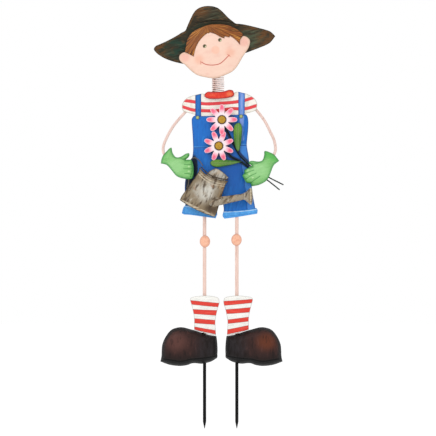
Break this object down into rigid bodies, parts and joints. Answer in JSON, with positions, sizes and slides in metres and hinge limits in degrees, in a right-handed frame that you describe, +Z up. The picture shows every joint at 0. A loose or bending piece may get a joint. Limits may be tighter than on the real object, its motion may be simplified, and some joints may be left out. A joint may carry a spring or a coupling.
{
  "type": "scarecrow figure",
  "caption": "Painted sheet-steel garden stake figure of a boy gardener with a sprung head, a watering can and two flowers, on two legs that push into soil.",
  "frame": {"origin": "soil level, midway between the two leg axes, in the plane that the leg tubes' front touches", "axes": "+Z up, the figure faces -Y, and +X is to the right as seen by someone who looks at its face"},
  "size_m": [0.3372, 0.068, 1.0988],
  "materials": {
    "skin_paint": "semi-gloss enamel, hand shaded pink and peach",
    "hair_paint": "semi-gloss enamel, brown with painted strands",
    "hat_paint": "satin enamel, olive, green and rust brushed together",
    "red_paint": "semi-gloss enamel",
    "shirt_paint": "semi-gloss white enamel with two red stripes",
    "sock_paint": "semi-gloss white enamel with four red stripes",
    "blue_paint": "semi-gloss enamel, shaded darker at the edges",
    "light_blue_paint": "semi-gloss enamel",
    "button_paint": "dull brass-green enamel",
    "green_paint": "semi-gloss enamel, pale in the middle",
    "leaf_paint": "semi-gloss enamel",
    "stem_paint": "satin enamel",
    "petal_paint": "semi-gloss enamel, white at the root and pink at the tip",
    "gold_paint": "satin enamel, gold with a dark brown edge",
    "zinc_paint": "satin enamel, painted as weathered zinc",
    "boot_paint": "gloss enamel, black with a red-brown shine",
    "black_steel": "satin black enamel",
    "spring_steel": "wire with a thin coat of skin paint"
  },
  "bodies": {
    "figure": {"neck_shelf": "black_steel", "collar": "red_paint", "shirt": "shirt_paint", "overalls": "blue_paint", "left_cuff": "light_blue_paint", "right_cuff": "light_blue_paint", "left_strap": "blue_paint", "right_strap": "blue_paint", "left_strap_button": "button_paint", "right_strap_button": "button_paint", "left_arm_rod": "skin_paint", "right_arm_rod": "skin_paint", "left_glove": "green_paint", "right_glove": "green_paint", "left_leg_tube": "skin_paint", "right_leg_tube": "skin_paint", "left_knee": "skin_paint", "right_knee": "skin_paint", "left_sock": "sock_paint", "right_sock": "sock_paint", "left_boot": "boot_paint", "right_boot": "boot_paint", "left_stake_socket": "black_steel", "right_stake_socket": "black_steel", "flower_1_petals": "petal_paint", "flower_1_centre": "gold_paint", "flower_1_stem": "stem_paint", "flower_1_leaf": "leaf_paint", "flower_2_petals": "petal_paint", "flower_2_centre": "gold_paint", "flower_2_stem": "stem_paint", "flower_2_leaf": "leaf_paint", "can_body": "zinc_paint", "can_base": "zinc_paint", "can_rim": "zinc_paint", "can_hood": "zinc_paint", "can_spout": "zinc_paint", "can_rose": "zinc_paint", "can_handle": "zinc_paint", "can_bracket": "black_steel"},
    "neck_spring": {"neck_spring": "spring_steel"},
    "head": {"hat": "hat_paint", "hair": "hair_paint", "face": "skin_paint", "head_bracket": "black_steel"},
    "left_stake": {"left_stake": "black_steel"},
    "right_stake": {"right_stake": "black_steel"}
  },
  "joints": [
    {"name": "head_sway", "type": "hinge", "parent": "figure", "child": "neck_spring", "pos_m": [-0.007, 0.0082, 0.7388], "axis": [0, 1, 0], "range_deg": [-20, 20], "stiffness_Nm_per_rad": 0.75, "springref_deg": 3.44, "deforming": ["neck_spring"]},
    {"name": "head_nod", "type": "hinge", "parent": "neck_spring", "child": "head", "pos_m": [-0.007, 0.0082, 0.7388], "axis": [1, 0, 0], "range_deg": [-18, 18], "stiffness_Nm_per_rad": 0.75, "springref_deg": -4.47, "deforming": ["neck_spring"]},
    {"name": "left_stake_pull", "type": "slide", "parent": "figure", "child": "left_stake", "axis": [0, 0, -1], "range_m": [0, 0.07]},
    {"name": "right_stake_pull", "type": "slide", "parent": "figure", "child": "right_stake", "axis": [0, 0, -1], "range_m": [0, 0.07]}
  ]
}
